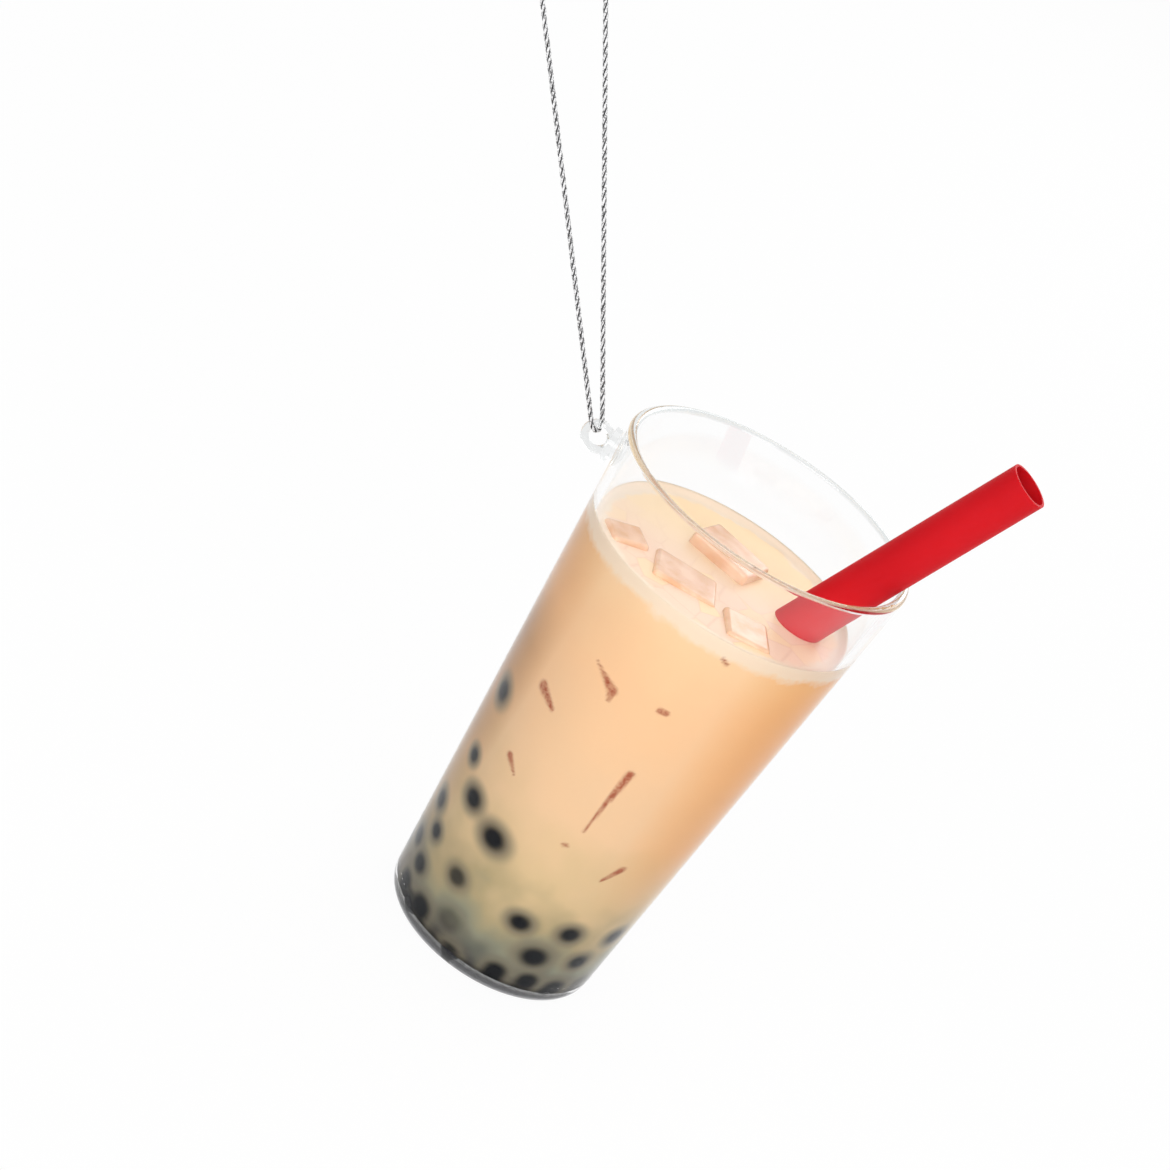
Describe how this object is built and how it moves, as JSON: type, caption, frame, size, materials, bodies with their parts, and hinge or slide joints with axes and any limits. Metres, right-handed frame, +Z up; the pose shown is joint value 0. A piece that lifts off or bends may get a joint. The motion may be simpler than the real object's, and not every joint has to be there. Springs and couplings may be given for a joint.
{
  "type": "hanging glass ornament",
  "caption": "Hanging glass ornament in the shape of a tapered tumbler of iced milk tea with dark pearls, a leaning wide straw, a glass ring and a cord loop.",
  "frame": {"origin": "centre of the cup's flat base", "axes": "+Z up along the cup's axis, +X towards the side the straw leans to, the cord ring is on the -X side, and -Y faces the viewer"},
  "size_m": [0.1128, 0.053, 0.1543],
  "materials": {
    "cup_glass": "clear polished glass",
    "drink": "cast opaque milk-tea resin, glossy",
    "ice": "cast translucent resin tinted by the drink",
    "straw": "glossy translucent red",
    "cord": "twisted silver-grey cord"
  },
  "bodies": {
    "root": {"glass_cup": "cup_glass", "hanging_eye": "cup_glass", "drink": "drink", "ice_back": "ice", "ice_middle": "ice", "ice_front": "ice", "ice_left": "ice", "straw": "straw", "cord_front": "cord", "cord_back": "cord", "cord_knot": "cord"}
  },
  "joints": []
}
